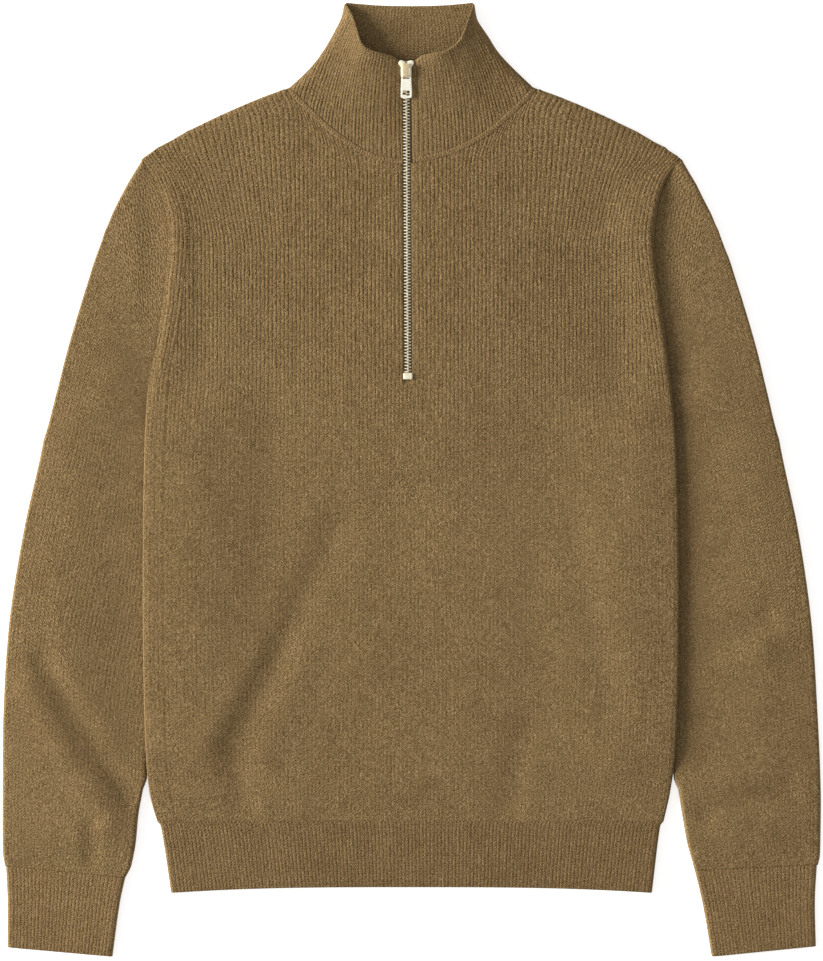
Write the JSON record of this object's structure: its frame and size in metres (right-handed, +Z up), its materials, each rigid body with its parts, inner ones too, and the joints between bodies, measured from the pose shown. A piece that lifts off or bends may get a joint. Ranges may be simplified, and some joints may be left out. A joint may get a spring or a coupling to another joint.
{
  "type": "quarter zip sweater",
  "caption": "Ribbed knit sweater with long sleeves, a stand collar and a zip at the neck, laid flat with its front up.",
  "frame": {"origin": "middle of the sweater's outline, on the surface that it lies on", "axes": "+X towards the wearer's left sleeve, +Y from the hem to the collar, +Z up out of the front"},
  "size_m": [0.7037, 0.8196, 0.0169],
  "materials": {
    "knit": "matt ribbed knit in olive brown",
    "rib_trim": "matt close rib in olive brown, a little darker",
    "zip_tape": "matt woven tape in dark brown",
    "brass": "polished pale brass"
  },
  "bodies": {
    "garment": {"body_back": "knit", "body_front": "knit", "sleeve_right": "knit", "sleeve_left": "knit", "cuff_right": "rib_trim", "cuff_left": "rib_trim", "hem_band": "rib_trim", "collar": "knit", "neck_band": "rib_trim", "zip_tape": "zip_tape", "zip_chain": "brass", "zip_bottom_stop": "brass", "zip_slider": "brass"},
    "pull": {"zip_pull": "brass"}
  },
  "joints": [
    {"name": "pull_hinge", "type": "hinge", "parent": "garment", "child": "pull", "pos_m": [-0.00451, 0.35579, 0.01413], "axis": [-1, 0, 0], "range_deg": [0, 170]}
  ]
}
